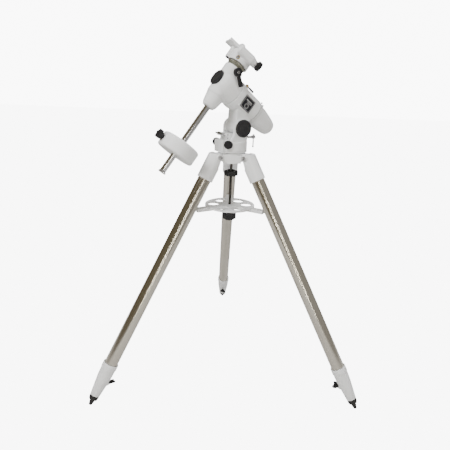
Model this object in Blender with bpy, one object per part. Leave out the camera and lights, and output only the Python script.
"""German equatorial mount on a folding steel tripod, modelled as its separate pieces.

Lengths are in metres and angles in degrees. World +Z is up. The tripod's legs stand at three even azimuths,
and the head points its polar axis at POLE_AZIMUTH, raised by LATITUDE.

Frames, each an empty on the axis that its pieces turn about:
  tripod_axis    world axes, on the tripod's centre line, z = 0 on the ground
  leg_hinge      at each leg's hinge bolt, +Z up along the leg, +X outwards, +Y along the bolt
  azimuth_axis   on the centre line at the hub's top, +X towards the pole, +Y towards the lever side
  altitude_axis  on the altitude bolt, tilted so that +Z runs up the polar axis and +X runs down the declination axis
  polar_axis     as altitude_axis, at the point where the polar and declination axes cross
  dec_axis       at that same point, +Z up the declination axis and +X up the polar axis
  head_axis      as dec_axis, turned by DEC_TURN
"""

import math

import bmesh
import bpy
from mathutils import Matrix, Vector

# Fits
GAP = 0.0003
SLIP = 0.0005

# Tripod
LEG_AZIMUTHS = {"back": 90.0, "left": 210.0, "right": 330.0}
FOOT_SPREAD = 0.525
HINGE_SPREAD = 0.0614
LEG_LENGTH = 0.937
TRIPOD_Y = -0.132
TUBE_RADIUS = 0.02225
TUBE_WALL = 0.0015
LOWER_TUBE_RADIUS = 0.0140
LOWER_TUBE_WALL = 0.0018
GUIDE_LENGTH = 0.025
LEG_TRAVEL = 0.32
SOCKET_RADIUS = 0.02725
SOCKET_DROP = 0.0836
SOCKET_SEAT = 0.036
SLOT_FLOOR = 0.031
SLOT_WALL = 0.0205
BOSS_RADIUS = 0.0115
BOSS_REACH = 0.0295
HINGE_BOLT_RADIUS = 0.004
BOLT_HEAD_RADIUS = 0.007
BOLT_HEAD_HEIGHT = 0.005
EAR_LOBE_RADIUS = 0.0130
LUG_HALF_WIDTH = 0.0140
LUG_RADIUS = 0.0125
CLAMP_LENGTH = 0.1229
CLAMP_OVERLAP = 0.0315
CLAMP_RIM_RADIUS = 0.0262
CLAMP_WAIST_RADIUS = 0.0205
CLAMP_END_RADIUS = 0.0165
CLAMP_BOSS_RADIUS = 0.0085
CLAMP_BOSS_REACH = 0.029
FOOT_CUP_RADIUS = 0.0163
FOOT_CUP_LENGTH = 0.0105
FOOT_BALL_RADIUS = 0.0065
FOOT_SPIKE_LENGTH = 0.0235
HUB_ABOVE_HINGE = 0.0145
HUB_HEIGHT = 0.0386
HUB_CORNER_RADIUS = 0.037
HUB_FLANGE_RADIUS = 0.0455
HUB_FLANGE_THICKNESS = 0.006

# Centre bolt and tray
ROD_RADIUS = 0.0045
ROD_DROP = 0.2453
ROD_SEAT = 0.016
CENTRE_KNOB_RADIUS = 0.024
ROD_KNOB_DROP = 0.0813
ROD_KNOB_HEIGHT = 0.022
TRAY_DROP = 0.1853
TRAY_STACK = 0.0025
TRAY_THICKNESS = 0.006
TRAY_RADIUS = 0.087
TRAY_HOLE_RADIUS = 0.021
TRAY_HOLE_CIRCLE = 0.0575
TRAY_HOLE_OFFSET = 27.0
TRAY_ARM_WIDTH = 0.022
TRAY_ARM_THICKNESS = 0.012
TRAY_BOSS_RADIUS = 0.018
TRAY_BOSS_DROP = 0.027
TRAY_KNOB_HEIGHT = 0.026

# Azimuth base
POLE_AZIMUTH = 208.0
BASE_RADIUS = 0.050
BASE_HEIGHT = 0.036
PEG_OFFSET = 0.038
PEG_RADIUS = 0.005
PEG_HEIGHT = 0.0335
AZIMUTH_SCREW_HEIGHT = 0.0289
AZIMUTH_TRAVEL = 0.0040
BLOCK_HALF_WIDTH = 0.0295
BLOCK_NORTH = 0.052
BLOCK_TOP = 0.041
SCREW_RADIUS = 0.003
SMALL_KNOB_RADIUS = 0.0135
SMALL_KNOB_HEIGHT = 0.0142
EAR_INNER = 0.029
EAR_THICKNESS = 0.012
EAR_RADIUS = 0.030

# Altitude axis
ALTITUDE_NORTH = -0.015
ALTITUDE_HEIGHT = 0.0799
ALTITUDE_BOLT_RADIUS = 0.006
COVER_RADIUS = 0.0285
COVER_DEPTH = 0.0092
T_BOLT_RADIUS = 0.004
T_BAR_RADIUS = 0.0022
T_BAR_LENGTH = 0.046
T_BOLT_CLEARANCE = 0.001
T_BOLT_HEIGHT = 0.046
FRONT_BOLT_TILT = 15.0
T_BOLT_LENGTH = 0.0605
TONGUE_LENGTH = 0.042
TONGUE_HALF_WIDTH = 0.007

# Polar axis
LATITUDE = 38.0
POLAR_RISE = 0.0726
POLAR_REACH = 0.1269
HOUSING_RADIUS = 0.0425
HOUSING_RIM_RADIUS = 0.0465
BARREL_RADIUS = 0.0455
HOUSING_WALL = 0.006
HOUSING_TOP = -0.0453
HOUSING_BOTTOM = -0.138
POLAR_SHAFT_RADIUS = 0.014
POLAR_SHAFT_TOP = -0.0163
POLAR_SHAFT_BOTTOM = -0.150
CIRCLE_DEPTH = 0.0132
RA_CIRCLE_INSET = 0.0020
REAR_CAP_RADIUS = 0.0385
REAR_CAP_LENGTH = 0.086
FRONT_CAP_RADIUS = 0.026
FRONT_CAP_HEIGHT = 0.0115
WORM_RADIUS = 0.006
WORM_HALF_LENGTH = 0.0115
RA_WHEEL_RADIUS = 0.0225
RA_WORM_LEVEL = -0.095
WHEEL_HALF_THICKNESS = 0.0048
SLOW_KNOB_RADIUS = 0.0155
SLOW_KNOB_HEIGHT = 0.0146
PLATE_SIZE = 0.043
PLATE_THICKNESS = 0.0014
PLATE_CENTRE = (0.005, -0.0885)
LOCK_LEVEL = -0.072
LOCK_STUD_RADIUS = 0.0055
LOCK_STICK_LENGTH = 0.0252

# Declination axis
DEC_TURN = -12.0
DEC_TUBE_RADIUS = 0.032
DEC_TUBE_TOP = 0.058
CONE_SEAT = 0.0475
DEC_SHAFT_RADIUS = 0.012
DEC_CIRCLE_RADIUS = 0.029
DEC_CIRCLE_DEPTH = 0.0148
HEAD_RADIUS = 0.0355
HEAD_WALL = 0.0043
HEAD_TOP = 0.1110
DEC_WORM_LEVEL = 0.1035
WORM_BARREL_RADIUS = 0.0145
WORM_BARREL_HALF_LENGTH = 0.030
HEAD_BOSS_RADIUS = 0.009
LEVER_LEVEL = 0.045
LEVER_HUB_RADIUS = 0.013
LEVER_LENGTH = 0.043
LEVER_THICKNESS = 0.0115
LEVER_DROP_ANGLE = 41.0
SADDLE_UP_END = 0.067
SADDLE_DOWN_END = 0.055
SADDLE_NEAR_EDGE = 0.0215
SADDLE_FAR_EDGE = 0.0245
SADDLE_RAIL = 0.006
SADDLE_FLOOR = 0.0042
SADDLE_UNDERCUT = 0.0020
SADDLE_HEIGHT = 0.0082
JAW_CENTRE = 0.015
JAW_LENGTH = 0.026
JAW_HEIGHT = 0.035
JAW_INNER = 0.016
JAW_THICKNESS = 0.010
JAW_SCREW_HEIGHT = 0.026
SADDLE_KNOB_RADIUS = 0.011

# Counterweight
BAR_RADIUS = 0.010
BAR_START = 0.0125
BAR_END = 0.336
CONE_END = 0.090
WEIGHT_RADIUS = 0.0635
WEIGHT_THICKNESS = 0.047
WEIGHT_CENTRE = 0.252
WEIGHT_KNOB_TURN = 0.0
WEIGHT_KNOB_RADIUS = 0.0155

ROUND = 26
SMALL_ROUND = 12

LEG_LEAN = math.degrees(math.asin((FOOT_SPREAD - HINGE_SPREAD) / LEG_LENGTH))
HINGE_HEIGHT = FOOT_BALL_RADIUS + LEG_LENGTH * math.cos(math.radians(LEG_LEAN))
HUB_TOP = HINGE_HEIGHT + HUB_ABOVE_HINGE
TRAY_TOP = HUB_TOP - TRAY_DROP
ROD_BOTTOM = HUB_TOP - ROD_DROP
ROD_KNOB_BOTTOM = HUB_TOP - ROD_KNOB_DROP
FOOT_SHOULDER = LEG_LENGTH - FOOT_SPIKE_LENGTH - FOOT_CUP_LENGTH + 0.0005
CLAMP_TOP = FOOT_SHOULDER - CLAMP_LENGTH
WORM_OFFSET = RA_WHEEL_RADIUS + WORM_RADIUS + SLIP
DEC_WHEEL_RADIUS = HEAD_RADIUS - HEAD_WALL - 0.0007
DEC_WORM_OFFSET = DEC_WHEEL_RADIUS + WORM_RADIUS + SLIP
DEC_CIRCLE_BOTTOM = DEC_TUBE_TOP + SLIP
HEAD_BOTTOM = DEC_CIRCLE_BOTTOM + DEC_CIRCLE_DEPTH + SLIP
FRONT_CAP_SEAT = 0.0252
RA_CIRCLE_RADIUS = HOUSING_RADIUS - RA_CIRCLE_INSET
CAP_FACE = HOUSING_BOTTOM - CIRCLE_DEPTH - 2 * GAP


# ---- Materials -------------------------------------------------------------------------------------------------

FINISHES = {
    "white_paint": ((0.78, 0.79, 0.80), 0.38, 0.0),
    "stainless": ((0.56, 0.53, 0.47), 0.22, 1.0),
    "chrome": ((0.75, 0.75, 0.76), 0.12, 1.0),
    "black_plastic": ((0.02, 0.02, 0.022), 0.5, 0.0),
    "rubber": ((0.015, 0.015, 0.016), 0.85, 0.0),
    "brass": ((0.62, 0.47, 0.22), 0.3, 1.0),
    "dial": ((0.20, 0.20, 0.16), 0.45, 0.6),
    "steel": ((0.45, 0.45, 0.46), 0.35, 1.0),
}


def finish_material(finish):
    """Returns the material of that finish, made the first time it is asked for."""
    material = bpy.data.materials.get(finish)
    if material is None:
        colour, roughness, metallic = FINISHES[finish]
        material = bpy.data.materials.new(finish)
        material.use_nodes = True
        shader = material.node_tree.nodes["Principled BSDF"]
        shader.inputs["Base Color"].default_value = (*colour, 1.0)
        shader.inputs["Roughness"].default_value = roughness
        shader.inputs["Metallic"].default_value = metallic
    return material


# ---- Shapes ----------------------------------------------------------------------------------------------------


def turned(profile, sides=ROUND, ring=False):
    """A solid turned about Z from (radius, z) points. A ring's profile is a closed loop off the axis."""
    points = list(profile)
    if not ring:
        if points[0][0] > 0:
            points.insert(0, (0.0, points[0][1]))
        if points[-1][0] > 0:
            points.append((0.0, points[-1][1]))
    shape = bmesh.new()
    verts = [shape.verts.new((radius, 0.0, z)) for radius, z in points]
    edges = [shape.edges.new(pair) for pair in zip(verts, verts[1:])]
    if ring:
        edges.append(shape.edges.new((verts[-1], verts[0])))
    bmesh.ops.spin(shape, geom=verts + edges, axis=(0, 0, 1), cent=(0, 0, 0), angle=math.tau,
                   steps=sides, use_merge=True)
    bmesh.ops.remove_doubles(shape, verts=shape.verts, dist=1e-6)
    bmesh.ops.recalc_face_normals(shape, faces=shape.faces)
    return shape


def rod(radius, low, high, sides=SMALL_ROUND):
    """A plain round bar about Z."""
    return turned([(radius, low), (radius, high)], sides)


def prism(outline, low, high):
    """A flat outline in X and Y, drawn up from z = low to z = high."""
    shape = bmesh.new()
    face = shape.faces.new([shape.verts.new((x, y, low)) for x, y in outline])
    drawn = bmesh.ops.extrude_face_region(shape, geom=[face])
    moved = [item for item in drawn["geom"] if isinstance(item, bmesh.types.BMVert)]
    bmesh.ops.translate(shape, verts=moved, vec=(0, 0, high - low))
    bmesh.ops.recalc_face_normals(shape, faces=shape.faces)
    return shape


def side_prism(outline, low, high):
    """A flat outline in X and Z, drawn along Y from y = low to y = high."""
    return moved(prism([(x, -z) for x, z in outline], low, high), turn=("X", -90.0))


def block(x_range, y_range, z_range):
    """A box between the given limits."""
    (x_low, x_high), (y_low, y_high) = x_range, y_range
    return prism([(x_low, y_low), (x_high, y_low), (x_high, y_high), (x_low, y_high)], *z_range)


def arc(centre, radius, start, end, steps):
    """Points on a circle from one angle to another, both included."""
    angles = [math.radians(start + (end - start) * step / steps) for step in range(steps + 1)]
    return [(centre[0] + radius * math.cos(a), centre[1] + radius * math.sin(a)) for a in angles]


def lobed(radius, depth, lobes, low, high, steps=6):
    """A hand knob's head: a prism whose edge waves in and out."""
    outline = []
    for step in range(lobes * steps):
        angle = math.tau * step / (lobes * steps)
        reach = radius - depth * (1 - math.cos(lobes * angle)) / 2
        outline.append((reach * math.cos(angle), reach * math.sin(angle)))
    return prism(outline, low, high)


def moved(shape, by=(0, 0, 0), turn=None, aim=None):
    """Turns a shape about a named axis, or aims its Z along a direction, then moves it."""
    if turn:
        bmesh.ops.rotate(shape, verts=shape.verts, cent=(0, 0, 0),
                         matrix=Matrix.Rotation(math.radians(turn[1]), 3, turn[0]))
    if aim:
        bmesh.ops.rotate(shape, verts=shape.verts, cent=(0, 0, 0), matrix=aimed(aim).to_matrix())
    bmesh.ops.translate(shape, verts=shape.verts, vec=by)
    return shape


def aimed(direction):
    """The shortest turn that takes +Z to a direction."""
    return Vector((0, 0, 1)).rotation_difference(Vector(direction))


def combined(base, tool, operation):
    """Joins, cuts or crosses two shapes. Both are used up."""
    holders = []
    for shape in (base, tool):
        mesh = bpy.data.meshes.new("working")
        shape.to_mesh(mesh)
        shape.free()
        holder = bpy.data.objects.new("working", mesh)
        bpy.context.scene.collection.objects.link(holder)
        holders.append(holder)
    modifier = holders[0].modifiers.new(operation, "BOOLEAN")
    modifier.operation = operation
    modifier.solver = "EXACT"
    modifier.object = holders[1]
    evaluated = holders[0].evaluated_get(bpy.context.evaluated_depsgraph_get())
    result = bmesh.new()
    result.from_mesh(evaluated.to_mesh())
    for holder in holders:
        mesh = holder.data
        bpy.data.objects.remove(holder)
        bpy.data.meshes.remove(mesh)
    return result


def joined(base, *tools):
    for tool in tools:
        base = combined(base, tool, "UNION")
    return base


def cut(base, *tools):
    for tool in tools:
        base = combined(base, tool, "DIFFERENCE")
    return base


# ---- Placing ---------------------------------------------------------------------------------------------------


def frame(name, parent=None, at=(0, 0, 0), turn=(0, 0, 0)):
    """An empty that holds pieces. Its turn is in degrees about X, then Y, then Z."""
    holder = bpy.data.objects.new(name, None)
    bpy.context.scene.collection.objects.link(holder)
    holder.parent = parent
    holder.location = at
    holder.rotation_euler = [math.radians(angle) for angle in turn]
    return holder


def meshed(name, shape, finish):
    """Turns a shape into a mesh, shaded smooth over its round faces."""
    bmesh.ops.remove_doubles(shape, verts=shape.verts, dist=1e-6)
    mesh = bpy.data.meshes.new(name)
    shape.to_mesh(mesh)
    shape.free()
    mesh.shade_smooth()
    mesh.set_sharp_from_angle(angle=math.radians(35))
    mesh.materials.append(finish_material(finish))
    return mesh


def place(name, mesh, parent, at=(0, 0, 0), aim=(0, 0, 1)):
    """Puts a piece in its frame, with its own Z along aim."""
    piece = bpy.data.objects.new(name, mesh)
    bpy.context.scene.collection.objects.link(piece)
    piece.parent = parent
    piece.location = at
    piece.rotation_mode = "QUATERNION"
    piece.rotation_quaternion = aimed(aim)
    return piece


def piece(name, shape, finish, parent, at=(0, 0, 0), aim=(0, 0, 1)):
    return place(name, meshed(name, shape, finish), parent, at, aim)


# ---- Tripod ----------------------------------------------------------------------------------------------------


def leg_socket():
    """The casting on a leg's top: a sleeve over the tube, and two ears on each side of the hub's lug."""
    lean = math.radians(LEG_LEAN)
    level = EAR_LOBE_RADIUS
    outer_top = (level - math.sin(lean) * SOCKET_RADIUS) / math.cos(lean)
    outline = [(-SOCKET_RADIUS, -SOCKET_DROP), (SOCKET_RADIUS, -SOCKET_DROP), (SOCKET_RADIUS, outer_top)]
    outline += arc((0, 0), EAR_LOBE_RADIUS, 90 - LEG_LEAN, 215, 8)
    outline += [(-SOCKET_RADIUS * 0.62, -SLOT_FLOOR), (-SOCKET_RADIUS, -SOCKET_SEAT)]
    body = side_prism(outline, -SOCKET_RADIUS, SOCKET_RADIUS)
    body = combined(body, rod(SOCKET_RADIUS, -0.2, 0.2, ROUND), "INTERSECT")
    ear_middle = LUG_HALF_WIDTH + 0.002
    for side in (-1, 1):
        body = joined(body, moved(rod(BOSS_RADIUS, ear_middle, BOSS_REACH, 20), aim=(0, side, 0)))
    return cut(
        body,
        block((-0.1, SLOT_WALL), (-LUG_HALF_WIDTH - SLIP, LUG_HALF_WIDTH + SLIP), (-SLOT_FLOOR, 0.1)),
        rod(TUBE_RADIUS + GAP, -0.2, -SOCKET_SEAT, ROUND),
        moved(rod(HINGE_BOLT_RADIUS + GAP, -0.1, 0.1), aim=(0, 1, 0)),
    )


def upper_tube():
    inner = TUBE_RADIUS - TUBE_WALL
    top, bottom = -SOCKET_SEAT - GAP, -CLAMP_TOP - CLAMP_OVERLAP
    return turned([(inner, top), (TUBE_RADIUS, top), (TUBE_RADIUS, bottom), (inner, bottom)], ring=True)


def clamp_aim():
    """The clamp screw's direction in the leg's frame: level, and pointing at the tripod's centre."""
    lean = math.radians(LEG_LEAN)
    return (-math.cos(lean), 0.0, math.sin(lean))


def clamp_screw_level():
    return -(CLAMP_TOP + 0.0874)


def leg_clamp():
    """The tapered casting that grips the lower tube, with a boss for its screw."""
    bottom = -FOOT_SHOULDER + SLIP
    body = turned([
        (CLAMP_RIM_RADIUS, -CLAMP_TOP), (CLAMP_RIM_RADIUS, -CLAMP_TOP - 0.019),
        (0.0238, -CLAMP_TOP - 0.054), (CLAMP_WAIST_RADIUS, -CLAMP_TOP - 0.085), (CLAMP_END_RADIUS, bottom),
    ])
    boss = moved(rod(CLAMP_BOSS_RADIUS, 0.010, CLAMP_BOSS_REACH, 20), aim=clamp_aim(), by=(0, 0, clamp_screw_level()))
    screw_hole = moved(rod(SCREW_RADIUS + GAP, 0.005, 0.05), aim=clamp_aim(), by=(0, 0, clamp_screw_level()))
    return cut(
        joined(body, boss),
        rod(LOWER_TUBE_RADIUS + SLIP, -2 * LEG_LENGTH, -CLAMP_TOP, 24),
        rod(TUBE_RADIUS + GAP, -CLAMP_TOP - CLAMP_OVERLAP - GAP, 0.0, ROUND),
        screw_hole,
    )


def clamp_knob():
    """A wing knob and its screw, along Z from the leg's centre line."""
    lean = math.radians(LEG_LEAN)
    tip = (LOWER_TUBE_RADIUS + GAP + SCREW_RADIUS * math.sin(lean)) / math.cos(lean)
    seat = CLAMP_BOSS_REACH + GAP
    stem = turned([(SCREW_RADIUS, tip), (SCREW_RADIUS, seat), (0.0065, seat), (0.0065, seat + 0.008)], 14)
    wing = side_prism([(-0.0065, seat + 0.003), (0.0065, seat + 0.003), (0.013, seat + 0.014),
                       (0.0095, seat + 0.0225), (-0.0095, seat + 0.0225), (-0.013, seat + 0.014)], -0.003, 0.003)
    return joined(stem, wing)


def lower_tube():
    """The sliding tube, with the collar that guides its top inside the upper tube."""
    inner = LOWER_TUBE_RADIUS - LOWER_TUBE_WALL
    guide = TUBE_RADIUS - TUBE_WALL - SLIP
    shoulder = -(CLAMP_TOP + CLAMP_OVERLAP - LEG_TRAVEL - 0.012)
    top, bottom = shoulder + GUIDE_LENGTH, -FOOT_SHOULDER + GAP
    return turned([(inner, top), (guide, top), (guide, shoulder), (LOWER_TUBE_RADIUS, shoulder),
                   (LOWER_TUBE_RADIUS, bottom), (inner, bottom)], 24, ring=True)


def foot():
    """A rubber cup plugged into the lower tube, ending in a round-tipped spike."""
    plug = LOWER_TUBE_RADIUS - LOWER_TUBE_WALL - SLIP
    ball = -LEG_LENGTH
    tip = [(x, z) for x, z in arc((0, ball), FOOT_BALL_RADIUS, 0, -90, 4)]
    cup_bottom = -FOOT_SHOULDER - FOOT_CUP_LENGTH
    return turned([
        (plug, -FOOT_SHOULDER + 0.018), (plug, -FOOT_SHOULDER), (FOOT_CUP_RADIUS, -FOOT_SHOULDER),
        (FOOT_CUP_RADIUS, cup_bottom), (FOOT_CUP_RADIUS * 0.78, cup_bottom - 0.0085),
        (FOOT_BALL_RADIUS, cup_bottom - 0.0095), *tip[:-1], (0.0, ball - FOOT_BALL_RADIUS),
    ], 20)


def hinge_bolt():
    seat = BOSS_REACH + GAP
    end = seat + BOLT_HEAD_HEIGHT
    return turned([(BOLT_HEAD_RADIUS, -end), (BOLT_HEAD_RADIUS, -seat), (HINGE_BOLT_RADIUS, -seat),
                   (HINGE_BOLT_RADIUS, seat), (BOLT_HEAD_RADIUS, seat), (BOLT_HEAD_RADIUS, end)], 14)


def make_legs(tripod):
    parts = {
        "socket": (meshed("leg_socket", leg_socket(), "white_paint"), (0, 0, 0), (0, 0, 1)),
        "upper_tube": (meshed("upper_tube", upper_tube(), "stainless"), (0, 0, 0), (0, 0, 1)),
        "clamp": (meshed("leg_clamp", leg_clamp(), "white_paint"), (0, 0, 0), (0, 0, 1)),
        "clamp_knob": (meshed("clamp_knob", clamp_knob(), "black_plastic"), (0, 0, clamp_screw_level()), clamp_aim()),
        "lower_tube": (meshed("lower_tube", lower_tube(), "stainless"), (0, 0, 0), (0, 0, 1)),
        "foot": (meshed("foot", foot(), "rubber"), (0, 0, 0), (0, 0, 1)),
        "hinge_bolt": (meshed("hinge_bolt", hinge_bolt(), "steel"), (0, 0, 0), (0, 1, 0)),
    }
    for side, azimuth in LEG_AZIMUTHS.items():
        angle = math.radians(azimuth)
        at = (HINGE_SPREAD * math.cos(angle), HINGE_SPREAD * math.sin(angle), HINGE_HEIGHT)
        hinge = frame(f"{side}_leg_hinge", tripod, at, (0, -LEG_LEAN, azimuth))
        for part, (mesh, where, aim) in parts.items():
            place(f"{side}_leg_{part}", mesh, hinge, where, aim)


def tripod_hub():
    """The centre casting: a six-sided body, three lugs, a round seat for the head and the azimuth peg."""
    bottom = HUB_TOP - HUB_HEIGHT
    body = turned([(HUB_CORNER_RADIUS, bottom), (HUB_CORNER_RADIUS, HUB_TOP - 0.001)], 6)
    seat = rod(HUB_FLANGE_RADIUS, HUB_TOP - HUB_FLANGE_THICKNESS, HUB_TOP, 28)
    body = joined(body, seat)
    hinge = (HINGE_SPREAD, HINGE_HEIGHT)
    outline = [(0.010, HINGE_HEIGHT - 0.020), *arc(hinge, LUG_RADIUS, -100, 90, 8),
               (0.010, HINGE_HEIGHT + LUG_RADIUS)]
    for azimuth in LEG_AZIMUTHS.values():
        lug = side_prism(outline, -LUG_HALF_WIDTH, LUG_HALF_WIDTH)
        hole = moved(rod(HINGE_BOLT_RADIUS + GAP, -0.1, 0.1), aim=(0, 1, 0), by=(HINGE_SPREAD, 0, HINGE_HEIGHT))
        body = joined(body, moved(lug, turn=("Z", azimuth)))
        body = cut(body, moved(hole, turn=("Z", azimuth)))
    angle = math.radians(POLE_AZIMUTH)
    peg = rod(PEG_RADIUS, HUB_TOP - 0.003, HUB_TOP + PEG_HEIGHT)
    peg = moved(peg, by=(PEG_OFFSET * math.cos(angle), PEG_OFFSET * math.sin(angle), 0))
    return cut(joined(body, peg), rod(ROD_RADIUS + GAP, 0.0, 2 * HUB_TOP))


def mount_bolt():
    """The long screw that holds the head down and carries the tray, with its hand knob."""
    knob_top = ROD_KNOB_BOTTOM + ROD_KNOB_HEIGHT
    screw = rod(ROD_RADIUS, ROD_BOTTOM, HUB_TOP + ROD_SEAT - GAP)
    collar = rod(0.010, knob_top - 0.002, knob_top + 0.006)
    return joined(lobed(CENTRE_KNOB_RADIUS, 0.004, 6, ROD_KNOB_BOTTOM, knob_top), collar, screw)


def tray_reach():
    """How far an arm can go out and leave room at its leg for a thin sheet lying on the tray."""
    lean = math.radians(LEG_LEAN)
    centre_line = HINGE_SPREAD + (HINGE_HEIGHT - TRAY_TOP - TRAY_STACK) * math.tan(lean)
    return centre_line - TUBE_RADIUS / math.cos(lean) - 2 * GAP


def tray():
    """The accessory tray: a pierced disc on three arms that push the legs apart."""
    plate = rod(TRAY_RADIUS, TRAY_TOP - TRAY_THICKNESS, TRAY_TOP, 28)
    for azimuth in LEG_AZIMUTHS.values():
        for offset in (60 - TRAY_HOLE_OFFSET, 60 + TRAY_HOLE_OFFSET):
            angle = math.radians(azimuth + offset)
            hole = rod(TRAY_HOLE_RADIUS, TRAY_TOP - 0.1, TRAY_TOP + 0.1, 24)
            hole = moved(hole, by=(TRAY_HOLE_CIRCLE * math.cos(angle), TRAY_HOLE_CIRCLE * math.sin(angle), 0))
            plate = cut(plate, hole)
    for azimuth in LEG_AZIMUTHS.values():
        half = TRAY_ARM_WIDTH / 2
        arm = block((0.012, tray_reach()), (-half, half), (TRAY_TOP - TRAY_ARM_THICKNESS, TRAY_TOP))
        plate = joined(plate, moved(arm, turn=("Z", azimuth)))
    plate = joined(plate, rod(TRAY_BOSS_RADIUS, TRAY_TOP - TRAY_BOSS_DROP, TRAY_TOP - 0.001, 24))
    return cut(plate, rod(ROD_RADIUS + GAP, 0.0, 2 * HUB_TOP))


def tray_knob():
    top = TRAY_TOP - TRAY_BOSS_DROP - SLIP
    head = lobed(CENTRE_KNOB_RADIUS, 0.004, 6, top - TRAY_KNOB_HEIGHT, top)
    return cut(head, rod(ROD_RADIUS + GAP, 0.0, 2 * HUB_TOP))


# ---- Azimuth base and altitude gear ----------------------------------------------------------------------------


def ear_outline():
    """An ear seen from the side: a round head about the altitude bolt, on a narrower neck."""
    centre = (ALTITUDE_NORTH, ALTITUDE_HEIGHT)
    neck = ALTITUDE_HEIGHT - 0.9 * EAR_RADIUS
    return [(0.028, 0.010), (0.026, BASE_HEIGHT + 0.004), (ALTITUDE_NORTH + EAR_RADIUS, ALTITUDE_HEIGHT - 0.022),
            *arc(centre, EAR_RADIUS, 0, 215, 14), (ALTITUDE_NORTH - 0.64 * EAR_RADIUS, neck),
            (-0.030, 0.010)]


def front_bolt_direction():
    tilt = math.radians(FRONT_BOLT_TILT)
    return (math.cos(tilt), 0.0, math.sin(tilt))


def front_bolt_tip():
    return (ALTITUDE_NORTH + TONGUE_HALF_WIDTH + T_BOLT_CLEARANCE, 0.0, T_BOLT_HEIGHT)


def rear_bolt_tip():
    return (ALTITUDE_NORTH - TONGUE_HALF_WIDTH - T_BOLT_CLEARANCE, 0.0, T_BOLT_HEIGHT)


def azimuth_base():
    """The casting that turns on the hub: a round base, a block for the azimuth screws, and the two ears."""
    body = rod(BASE_RADIUS, SLIP, BASE_HEIGHT, 28)
    body = joined(body, block((0.020, BLOCK_NORTH), (-BLOCK_HALF_WIDTH, BLOCK_HALF_WIDTH), (SLIP, BLOCK_TOP)))
    for side in (-1, 1):
        low, high = sorted((side * EAR_INNER, side * (EAR_INNER + EAR_THICKNESS)))
        body = joined(body, side_prism(ear_outline(), low, high))
    bridge = EAR_INNER + 0.002
    body = joined(body, block((0.006, 0.030), (-bridge, bridge), (0.030, 0.062)))
    body = joined(body, block((-0.050, -0.040), (-0.014, 0.014), (0.030, 0.058)))
    for side in (-1, 1):
        pocket = rod(SMALL_KNOB_RADIUS + 0.0012, BLOCK_HALF_WIDTH, 0.1, 24)
        body = cut(body, moved(pocket, aim=(0, side, 0), by=(PEG_OFFSET, 0, AZIMUTH_SCREW_HEIGHT)))
    hole = T_BOLT_RADIUS + GAP
    slot = PEG_RADIUS + AZIMUTH_TRAVEL + 0.0015
    return cut(
        body,
        moved(rod(ALTITUDE_BOLT_RADIUS + GAP, -0.1, 0.1), aim=(0, 1, 0), by=(ALTITUDE_NORTH, 0, ALTITUDE_HEIGHT)),
        moved(rod(hole, 0, 0.1), aim=front_bolt_direction(), by=front_bolt_tip()),
        moved(rod(hole, 0, 0.1), aim=(-1, 0, 0), by=rear_bolt_tip()),
        rod(ROD_RADIUS + GAP, -0.01, ROD_SEAT),
        block((PEG_OFFSET - PEG_RADIUS - 0.0015, PEG_OFFSET + PEG_RADIUS + 0.0015), (-slot, slot),
              (-0.01, PEG_HEIGHT + 0.0035)),
        moved(rod(SCREW_RADIUS + GAP, -0.1, 0.1), aim=(0, 1, 0), by=(PEG_OFFSET, 0, AZIMUTH_SCREW_HEIGHT)),
    )


def azimuth_knob():
    """A hand screw along Z, its tip just off the peg. Z = 0 is on the base's centre plane."""
    tip = PEG_RADIUS + 2 * GAP
    seat = BLOCK_HALF_WIDTH + AZIMUTH_TRAVEL + SLIP
    return turned([(SCREW_RADIUS, tip), (SCREW_RADIUS, seat), (0.010, seat), (SMALL_KNOB_RADIUS, seat + 0.002),
                   (SMALL_KNOB_RADIUS, seat + SMALL_KNOB_HEIGHT - 0.001),
                   (SMALL_KNOB_RADIUS - 0.001, seat + SMALL_KNOB_HEIGHT)], 24)


def altitude_bolt():
    face = EAR_INNER + EAR_THICKNESS + GAP
    return turned([(ALTITUDE_BOLT_RADIUS, -face - 0.0085), (ALTITUDE_BOLT_RADIUS, face), (0.010, face),
                   (0.010, face + 0.0046)])


def altitude_nut():
    face = EAR_INNER + EAR_THICKNESS + GAP
    bore = ALTITUDE_BOLT_RADIUS + GAP
    return cut(turned([(0.0125, -face - 0.0075), (0.0125, -face)], 6), rod(bore, -0.1, 0.0))


def altitude_cover():
    """A round cap over the altitude bolt's head."""
    face = EAR_INNER + EAR_THICKNESS + GAP
    front = face + COVER_DEPTH
    return turned([(0.0, front), (COVER_RADIUS - 0.003, front), (COVER_RADIUS, front - 0.003),
                   (COVER_RADIUS, face), (0.0115, face), (0.0115, face + 0.0055), (0.0, face + 0.0055)], 28)


def t_bolt(bar_low):
    """An altitude screw along Z from its tip, with a ball-ended bar across its head. The bar starts at X = bar_low."""
    bar_level = T_BOLT_LENGTH
    screw = turned([(0.0012, 0.0), (T_BOLT_RADIUS, 0.005), (T_BOLT_RADIUS, bar_level - 0.007),
                    (0.0058, bar_level - 0.0065), (0.0058, bar_level + 0.005)], 14)
    high = T_BAR_LENGTH
    ball = T_BAR_RADIUS * 1.5
    bar = turned([(ball * 0.6, 0.0), (ball, 0.0015), (ball, 0.004), (T_BAR_RADIUS, 0.006),
                  (T_BAR_RADIUS, high - 0.006), (ball, high - 0.004), (ball, high - 0.0015),
                  (ball * 0.6, high)], 10)
    return joined(screw, moved(bar, aim=(1, 0, 0), by=(bar_low, 0, bar_level)))


# ---- Polar axis ------------------------------------------------------------------------------------------------


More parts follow.
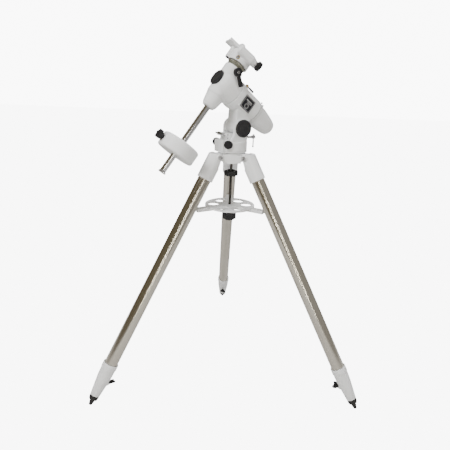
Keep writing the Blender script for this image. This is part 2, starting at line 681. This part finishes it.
def polar_housing():
    """The body round the polar shaft, with the foot that hangs between the ears and the tongue that the screws push."""
    body = turned([(HOUSING_RIM_RADIUS, HOUSING_TOP), (HOUSING_RIM_RADIUS, HOUSING_TOP - 0.015),
                   (HOUSING_RADIUS, HOUSING_TOP - 0.031), (HOUSING_RADIUS, HOUSING_BOTTOM)], 28)
    pivot = (POLAR_RISE, -POLAR_REACH)
    foot_half = EAR_INNER - 2 * GAP
    foot_radius = EAR_RADIUS - 0.004
    foot_outline = [(0.028, -0.074), (0.028, HOUSING_BOTTOM), (HOUSING_RADIUS - 0.002, HOUSING_BOTTOM),
                    *arc(pivot, foot_radius, -60, 90, 10), (HOUSING_RADIUS, -0.080)]
    body = joined(body, side_prism(foot_outline, -foot_half, foot_half))
    tongue = block((-TONGUE_HALF_WIDTH, TONGUE_HALF_WIDTH), (-0.012, 0.012), (-TONGUE_LENGTH, 0.0))
    body = joined(body, moved(tongue, turn=("Y", LATITUDE - 90.0), by=(POLAR_RISE, 0, -POLAR_REACH)))
    half = PLATE_SIZE / 2 + 0.001
    pad_x, pad_z = PLATE_CENTRE
    body = joined(body, block((pad_x - half, pad_x + half), (0.030, HOUSING_RADIUS + GAP), (pad_z - half, pad_z + half)))
    worm_boss = moved(rod(0.0105, 0.0, 0.046, 20), aim=(0, -1, 0), by=(-WORM_OFFSET, 0, RA_WORM_LEVEL))
    body = joined(body, worm_boss)
    return cut(
        body,
        rod(POLAR_SHAFT_RADIUS + SLIP, -0.2, 0.0, 24),
        rod(HOUSING_RADIUS - HOUSING_WALL, -0.3, HOUSING_TOP - 0.017, ROUND),
        block((pad_x - half, pad_x + half), (HOUSING_RADIUS + GAP, 0.1), (pad_z - half, pad_z + half)),
        moved(rod(WORM_RADIUS + 0.0009, -0.013, 0.033), aim=(0, -1, 0), by=(-WORM_OFFSET, 0, RA_WORM_LEVEL)),
        moved(rod(SCREW_RADIUS + GAP, 0.0, 0.1), aim=(0, -1, 0), by=(-WORM_OFFSET, 0, RA_WORM_LEVEL)),
        moved(rod(ALTITUDE_BOLT_RADIUS + GAP, -0.1, 0.1), aim=(0, 1, 0), by=(POLAR_RISE, 0, -POLAR_REACH)),
        moved(rod(SCREW_RADIUS + GAP, 0.0, 0.1), aim=(-1, 0, 0), by=(0, 0, LOCK_LEVEL)),
    )


def polar_rear_cap():
    """The hollow tapered cap on the polar axis's low end, spigoted through the setting circle."""
    spigot = HOUSING_RADIUS - HOUSING_WALL - GAP
    neck = RA_CIRCLE_RADIUS - 0.0108
    end = CAP_FACE - REAR_CAP_LENGTH
    return turned([
        (0.020, HOUSING_BOTTOM + 0.018), (spigot, HOUSING_BOTTOM + 0.018), (spigot, HOUSING_BOTTOM),
        (neck, HOUSING_BOTTOM), (neck, CAP_FACE), (REAR_CAP_RADIUS, CAP_FACE), (REAR_CAP_RADIUS, CAP_FACE - 0.004),
        (0.0365, CAP_FACE - 0.022), (0.0325, CAP_FACE - 0.048), (0.0275, end + 0.014), (0.0225, end + 0.005),
        (0.0150, end + 0.001), (0.0, end), (0.0, end + 0.014), (0.020, end + 0.014),
    ], ROUND, ring=True)


def dial(radius, bore, low, high, sides=28):
    return turned([(bore, high), (radius, high), (radius, low), (bore, low)], sides, ring=True)


def worm_shaft(near_end, knob_end, collar=None):
    """A worm on its shaft along Z, centred on the worm. The knob's end is at +Z."""
    profile = [(SCREW_RADIUS, -near_end), (SCREW_RADIUS, -WORM_HALF_LENGTH - 0.001),
               (WORM_RADIUS, -WORM_HALF_LENGTH), (WORM_RADIUS, WORM_HALF_LENGTH),
               (SCREW_RADIUS, WORM_HALF_LENGTH + 0.001)]
    if collar:
        low, high = collar
        profile += [(SCREW_RADIUS, low), (0.0068, low), (0.0068, high), (SCREW_RADIUS, high)]
    return turned([*profile, (SCREW_RADIUS, knob_end)], 16)


def slow_knob(low):
    """A knurled control knob along Z, with a blind bore for the worm's shaft."""
    high = low + SLOW_KNOB_HEIGHT
    bore = SCREW_RADIUS + GAP
    return turned([(0.0, high), (SLOW_KNOB_RADIUS - 0.0015, high), (SLOW_KNOB_RADIUS, high - 0.0015),
                   (SLOW_KNOB_RADIUS, low + 0.0015), (SLOW_KNOB_RADIUS - 0.0015, low), (bore, low),
                   (bore, high - 0.003), (0.0, high - 0.003)], 28)


RA_KNOB_LOW = 0.050
DEC_KNOB_LOW = 0.0440


def make_polar_parts(polar):
    piece("polar_housing", polar_housing(), "white_paint", polar)
    piece("polar_rear_cap", polar_rear_cap(), "white_paint", polar)
    circle_top = HOUSING_BOTTOM - GAP
    piece("ra_setting_circle", dial(RA_CIRCLE_RADIUS, RA_CIRCLE_RADIUS - 0.0105, circle_top - CIRCLE_DEPTH, circle_top),
          "dial", polar)
    half = PLATE_SIZE / 2
    plate_x, plate_z = PLATE_CENTRE
    face = HOUSING_RADIUS + 2 * GAP
    plate = block((plate_x - half, plate_x + half), (face, face + PLATE_THICKNESS), (plate_z - half, plate_z + half))
    piece("nameplate", plate, "black_plastic", polar)

    stud_seat = HOUSING_RADIUS + 0.0030
    stud = turned([(SCREW_RADIUS, 0.034), (SCREW_RADIUS, stud_seat), (LOCK_STUD_RADIUS, stud_seat),
                   (LOCK_STUD_RADIUS, stud_seat + 0.0085), (LOCK_STUD_RADIUS - 0.001, stud_seat + 0.0095)])
    piece("ra_lock_stud", stud, "brass", polar, at=(0, 0, LOCK_LEVEL), aim=(-1, 0, 0))
    stick_start = LOCK_STUD_RADIUS + GAP
    end = stick_start + LOCK_STICK_LENGTH
    stick = turned([(0.0030, stick_start), (0.0030, stick_start + 0.005), (0.0038, stick_start + 0.007),
                    (0.0038, end - 0.001), (0.0030, end)], 12)
    lever_at = (-stud_seat - 0.0052, 0, LOCK_LEVEL)
    piece("ra_lock_lever", stick, "black_plastic", polar, at=lever_at, aim=(0, 0, -1))

    wheel = dial(RA_WHEEL_RADIUS, POLAR_SHAFT_RADIUS + SLIP, RA_WORM_LEVEL - WHEEL_HALF_THICKNESS,
                 RA_WORM_LEVEL + WHEEL_HALF_THICKNESS)
    piece("ra_worm_wheel", wheel, "brass", polar)
    worm_at = (-WORM_OFFSET, 0, RA_WORM_LEVEL)
    knob_end = RA_KNOB_LOW + SLOW_KNOB_HEIGHT - 0.004
    piece("ra_worm", worm_shaft(0.015, knob_end), "steel", polar, at=worm_at, aim=(0, -1, 0))
    piece("ra_slow_knob", slow_knob(RA_KNOB_LOW), "black_plastic", polar, at=worm_at, aim=(0, -1, 0))


# ---- Declination axis ------------------------------------------------------------------------------------------


def dec_housing():
    """The T-shaped casting that the polar shaft turns: a barrel along the polar axis and a tube across it."""
    barrel = turned([(BARREL_RADIUS, HOUSING_TOP + 2 * GAP), (BARREL_RADIUS, -0.012), (BARREL_RADIUS - 0.001, 0.002),
                     (BARREL_RADIUS - 0.0055, 0.0135), (BARREL_RADIUS - 0.012, 0.021),
                     (FRONT_CAP_RADIUS + 0.0015, FRONT_CAP_SEAT)], 28)
    tube = moved(turned([(DEC_TUBE_RADIUS - 0.002, -CONE_SEAT), (DEC_TUBE_RADIUS, -CONE_SEAT + 0.004),
                         (DEC_TUBE_RADIUS, DEC_TUBE_TOP)], 28), aim=(-1, 0, 0))
    lever_hole = moved(rod(SCREW_RADIUS + GAP, 0.020, 0.1), aim=(0, 1, 0), by=(-LEVER_LEVEL, 0, 0))
    return cut(
        joined(barrel, tube),
        moved(rod(DEC_SHAFT_RADIUS + SLIP, DEC_SHAFT_RADIUS, 0.1, 24), aim=(-1, 0, 0)),
        rod(FRONT_CAP_RADIUS + SLIP, FRONT_CAP_SEAT, 0.1, 28),
        rod(POLAR_SHAFT_RADIUS + GAP, -0.1, POLAR_SHAFT_TOP + GAP, 24),
        moved(rod(BAR_RADIUS + GAP, BAR_START - GAP, 0.1, 20), aim=(1, 0, 0)),
        lever_hole,
    )


def polar_front_cap():
    seat = FRONT_CAP_SEAT + GAP
    top = seat + FRONT_CAP_HEIGHT
    return turned([(FRONT_CAP_RADIUS - 0.001, seat), (FRONT_CAP_RADIUS, seat + 0.001),
                   (FRONT_CAP_RADIUS, top - 0.002), (FRONT_CAP_RADIUS - 0.002, top)], 28)


def dec_lock_lever():
    """The declination clutch lever: a round hub along Z and an arm along X."""
    seat = DEC_TUBE_RADIUS + 0.0012
    hub = turned([(SCREW_RADIUS, 0.021), (SCREW_RADIUS, seat), (LEVER_HUB_RADIUS, seat),
                  (LEVER_HUB_RADIUS, seat + LEVER_THICKNESS - 0.001), (LEVER_HUB_RADIUS - 0.001, seat + LEVER_THICKNESS)], 28)
    low = seat + 0.0052
    rise = BARREL_RADIUS - DEC_TUBE_RADIUS - 0.0068
    arm = side_prism([(0.0, low), (LEVER_LENGTH, low + rise), (LEVER_LENGTH, low + rise + 0.006), (0.006, low + 0.0056),
                      (0.0, low + 0.0056)], -0.0075, 0.0075)
    return joined(hub, arm)


def dec_head():
    """The casting under the saddle that holds the declination worm and its wheel."""
    body = turned([(HEAD_RADIUS - 0.0015, HEAD_BOTTOM), (HEAD_RADIUS, HEAD_BOTTOM + 0.0015),
                   (HEAD_RADIUS, HEAD_TOP - 0.001), (HEAD_RADIUS - 0.001, HEAD_TOP)])
    reach = WORM_BARREL_HALF_LENGTH
    barrel = turned([(0.0100, -reach - 0.006), (0.0115, -reach), (WORM_BARREL_RADIUS, -reach + 0.009),
                     (WORM_BARREL_RADIUS, reach - 0.002), (WORM_BARREL_RADIUS - 0.002, reach)], 28)
    barrel = moved(barrel, aim=(1, 0, 0), by=(0, DEC_WORM_OFFSET, DEC_WORM_LEVEL))
    boss = moved(rod(HEAD_BOSS_RADIUS, HEAD_BOTTOM + GAP, HEAD_TOP - 0.0005, 20), by=(HEAD_RADIUS + 0.0015, -0.005, 0))
    body = joined(body, barrel, boss)
    wheel_top = DEC_WORM_LEVEL + WHEEL_HALF_THICKNESS + GAP
    return cut(
        body,
        rod(HEAD_RADIUS - HEAD_WALL, 0.0, wheel_top, ROUND),
        rod(DEC_SHAFT_RADIUS + GAP, 0.0, 0.2, 24),
        moved(rod(WORM_RADIUS + 0.0009, -0.0135, 0.0135), aim=(1, 0, 0), by=(0, DEC_WORM_OFFSET, DEC_WORM_LEVEL)),
        moved(rod(SCREW_RADIUS + GAP, -0.1, 0.025), aim=(1, 0, 0), by=(0, DEC_WORM_OFFSET, DEC_WORM_LEVEL)),
    )


def saddle():
    """The dovetail saddle: a grooved plate between two rails, and a tall jaw block with its screw hole."""
    low = HEAD_TOP + GAP
    floor, top = low + SADDLE_FLOOR, low + SADDLE_HEIGHT
    near, far, rail = SADDLE_NEAR_EDGE, -SADDLE_FAR_EDGE, SADDLE_RAIL
    profile = [(far, low), (near, low), (near, top), (near - rail, top), (near - rail + SADDLE_UNDERCUT, floor),
               (far + rail - SADDLE_UNDERCUT, floor), (far + rail, top), (far, top)]
    body = moved(prism(profile, -SADDLE_DOWN_END, SADDLE_UP_END), turn=("X", 90.0))
    body = moved(body, turn=("Z", 90.0))
    half = JAW_LENGTH / 2
    flank = prism([(JAW_CENTRE - half - 0.012, far + 0.002), (JAW_CENTRE - half - 0.003, far - 0.0075),
                   (JAW_CENTRE + half + 0.003, far - 0.0075), (JAW_CENTRE + half + 0.012, far + 0.002)],
                  low + 0.0005, top - 0.0005)
    crown = low + JAW_HEIGHT
    jaw = side_prism([(-half, floor - 0.002), (half, floor - 0.002), (half - 0.002, crown - 0.008),
                      (half - 0.006, crown - 0.0015), (half - 0.009, crown), (-half + 0.009, crown),
                      (-half + 0.006, crown - 0.0015), (-half + 0.002, crown - 0.008)],
                     -JAW_INNER - JAW_THICKNESS, -JAW_INNER)
    body = joined(body, flank, moved(jaw, by=(JAW_CENTRE, 0, 0)))
    screw = moved(rod(SCREW_RADIUS + GAP, 0.0, 0.1), aim=(0, -1, 0), by=(JAW_CENTRE, 0, low + JAW_SCREW_HEIGHT))
    return cut(body, screw)


def saddle_knob():
    """The saddle's clamp screw along Z, its tip standing a little inside the jaw."""
    tip = JAW_INNER - 0.003
    seat = JAW_INNER + JAW_THICKNESS + SLIP
    end = seat + 0.0195
    return turned([(SCREW_RADIUS, tip), (SCREW_RADIUS, seat), (0.0075, seat), (0.0075, seat + 0.0035),
                   (SADDLE_KNOB_RADIUS, seat + 0.0045), (SADDLE_KNOB_RADIUS, end - 0.0015),
                   (SADDLE_KNOB_RADIUS - 0.0015, end)], 24)


def make_declination_parts(polar):
    piece("dec_housing", dec_housing(), "white_paint", polar)
    piece("polar_front_cap", polar_front_cap(), "black_plastic", polar)
    piece("polar_shaft", rod(POLAR_SHAFT_RADIUS, POLAR_SHAFT_BOTTOM, POLAR_SHAFT_TOP, 24), "steel", polar)
    dec = frame("dec_axis", polar, turn=(0, -90, 0))
    drop = math.radians(LEVER_DROP_ANGLE)
    lever = piece("dec_lock_lever", dec_lock_lever(), "black_plastic", dec, at=(0, 0, LEVER_LEVEL))
    lever.rotation_quaternion = Matrix((
        (-math.cos(drop), -math.sin(drop), 0.0), (0.0, 0.0, 1.0), (-math.sin(drop), math.cos(drop), 0.0),
    )).to_quaternion()
    circle = dial(DEC_CIRCLE_RADIUS, DEC_SHAFT_RADIUS + SLIP, DEC_CIRCLE_BOTTOM, DEC_CIRCLE_BOTTOM + DEC_CIRCLE_DEPTH)
    piece("dec_setting_circle", circle, "dial", dec)

    head = frame("head_axis", dec, turn=(0, 0, DEC_TURN))
    piece("dec_head", dec_head(), "white_paint", head)
    piece("dec_shaft", rod(DEC_SHAFT_RADIUS, DEC_SHAFT_RADIUS + GAP, HEAD_TOP - GAP, 24), "steel", head)
    wheel = dial(DEC_WHEEL_RADIUS, DEC_SHAFT_RADIUS + SLIP, DEC_WORM_LEVEL - WHEEL_HALF_THICKNESS,
                 DEC_WORM_LEVEL + WHEEL_HALF_THICKNESS)
    piece("dec_worm_wheel", wheel, "brass", head)
    worm_at = (0, DEC_WORM_OFFSET, DEC_WORM_LEVEL)
    knob_end = DEC_KNOB_LOW + SLOW_KNOB_HEIGHT - 0.004
    collar = WORM_BARREL_HALF_LENGTH + 0.006 + SLIP
    piece("dec_worm", worm_shaft(0.024, knob_end, (collar, collar + 0.006)), "steel", head, at=worm_at, aim=(-1, 0, 0))
    piece("dec_slow_knob", slow_knob(DEC_KNOB_LOW), "black_plastic", head, at=worm_at, aim=(-1, 0, 0))
    piece("saddle", saddle(), "white_paint", head)
    piece("saddle_knob", saddle_knob(), "white_paint", head, at=(JAW_CENTRE, 0, HEAD_TOP + GAP + JAW_SCREW_HEIGHT), aim=(0, -1, 0))
    make_counterweight(dec)


def make_counterweight(dec):
    """The bar and what is on it, drawn from the crossing along the +Z of a frame turned end over end."""
    down = frame("counterweight_axis", dec, turn=(180, 0, 0))
    cone = cut(
        turned([(0.0300, CONE_SEAT + GAP), (0.0290, 0.048), (0.0268, 0.064), (0.0236, CONE_END - 0.010),
                (0.0195, CONE_END - 0.002), (0.0150, CONE_END)], 28),
        rod(BAR_RADIUS + GAP, 0.0, 0.2, 20),
    )
    piece("bar_cone", cone, "white_paint", down)
    bar = cut(rod(BAR_RADIUS, BAR_START, BAR_END, 20), rod(SCREW_RADIUS + GAP, BAR_END - 0.014, BAR_END + 0.01, 12))
    piece("counterweight_bar", bar, "chrome", down)
    seat = BAR_END + GAP
    screw = turned([(SCREW_RADIUS, BAR_END - 0.013), (SCREW_RADIUS, seat), (0.0100, seat), (0.0128, seat + 0.003),
                    (0.0128, seat + 0.007), (0.0115, seat + 0.008)], 20)
    piece("bar_end_screw", screw, "chrome", down)
    low, high = WEIGHT_CENTRE - WEIGHT_THICKNESS / 2, WEIGHT_CENTRE + WEIGHT_THICKNESS / 2
    soft = 0.006
    disc = turned([(BAR_RADIUS + SLIP, low), (WEIGHT_RADIUS - soft, low), (WEIGHT_RADIUS - 0.3 * soft, low + 0.3 * soft),
                   (WEIGHT_RADIUS, low + soft), (WEIGHT_RADIUS, high - soft),
                   (WEIGHT_RADIUS - 0.3 * soft, high - 0.3 * soft), (WEIGHT_RADIUS - soft, high),
                   (BAR_RADIUS + SLIP, high)], 28, ring=True)
    turn = math.radians(WEIGHT_KNOB_TURN)
    outwards = (math.cos(turn), math.sin(turn), 0.0)
    screw_hole = moved(rod(T_BOLT_RADIUS + GAP, 0.0, 0.1, 14), aim=outwards, by=(0, 0, WEIGHT_CENTRE))
    piece("counterweight", cut(disc, screw_hole), "white_paint", down)
    seat = WEIGHT_RADIUS + GAP
    knob = joined(
        lobed(WEIGHT_KNOB_RADIUS, 0.003, 5, seat + 0.006, seat + 0.021),
        turned([(T_BOLT_RADIUS, BAR_RADIUS + 2 * SLIP), (T_BOLT_RADIUS, seat), (0.008, seat), (0.008, seat + 0.008)], 14),
    )
    piece("counterweight_knob", knob, "black_plastic", down, at=(0, 0, WEIGHT_CENTRE), aim=outwards)


# ---- The whole mount -------------------------------------------------------------------------------------------


def main():
    for old in list(bpy.data.objects):
        bpy.data.objects.remove(old)
    tripod = frame("tripod_axis", at=(0, TRIPOD_Y, 0))
    make_legs(tripod)
    piece("tripod_hub", tripod_hub(), "white_paint", tripod)
    piece("mount_bolt", mount_bolt(), "black_plastic", tripod)
    piece("tray", tray(), "white_paint", tripod)
    piece("tray_knob", tray_knob(), "black_plastic", tripod)

    azimuth = frame("azimuth_axis", tripod, (0, 0, HUB_TOP), (0, 0, POLE_AZIMUTH))
    piece("azimuth_base", azimuth_base(), "white_paint", azimuth)
    screws_at = (PEG_OFFSET, 0, AZIMUTH_SCREW_HEIGHT)
    for name, direction in (("azimuth_knob_near", (0, 1, 0)), ("azimuth_knob_far", (0, -1, 0))):
        piece(name, azimuth_knob(), "black_plastic", azimuth, at=screws_at, aim=direction)
    pivot = (ALTITUDE_NORTH, 0, ALTITUDE_HEIGHT)
    piece("altitude_bolt", altitude_bolt(), "steel", azimuth, at=pivot, aim=(0, 1, 0))
    piece("altitude_nut", altitude_nut(), "steel", azimuth, at=pivot, aim=(0, 1, 0))
    piece("altitude_cover", altitude_cover(), "black_plastic", azimuth, at=pivot, aim=(0, 1, 0))
    place_t_bolts(azimuth)

    altitude = frame("altitude_axis", azimuth, pivot, (0, 90.0 - LATITUDE, 0))
    polar = frame("polar_axis", altitude, (-POLAR_RISE, 0, POLAR_REACH))
    make_polar_parts(polar)
    make_declination_parts(polar)


def place_t_bolts(azimuth):
    """The front screw's bar lies level, and the rear one's hangs low through its head."""
    front = piece("front_altitude_bolt", t_bolt(-T_BAR_LENGTH / 2), "chrome", azimuth, at=front_bolt_tip())
    tilt = math.radians(FRONT_BOLT_TILT)
    front.rotation_quaternion = Matrix((
        (0.0, -math.sin(tilt), math.cos(tilt)), (1.0, 0.0, 0.0), (0.0, math.cos(tilt), math.sin(tilt)),
    )).to_quaternion()
    rear = piece("rear_altitude_bolt", t_bolt(-0.010), "chrome", azimuth, at=rear_bolt_tip())
    rear.rotation_quaternion = Matrix(((0.0, 0.0, -1.0), (0.0, -1.0, 0.0), (-1.0, 0.0, 0.0))).to_quaternion()


main()
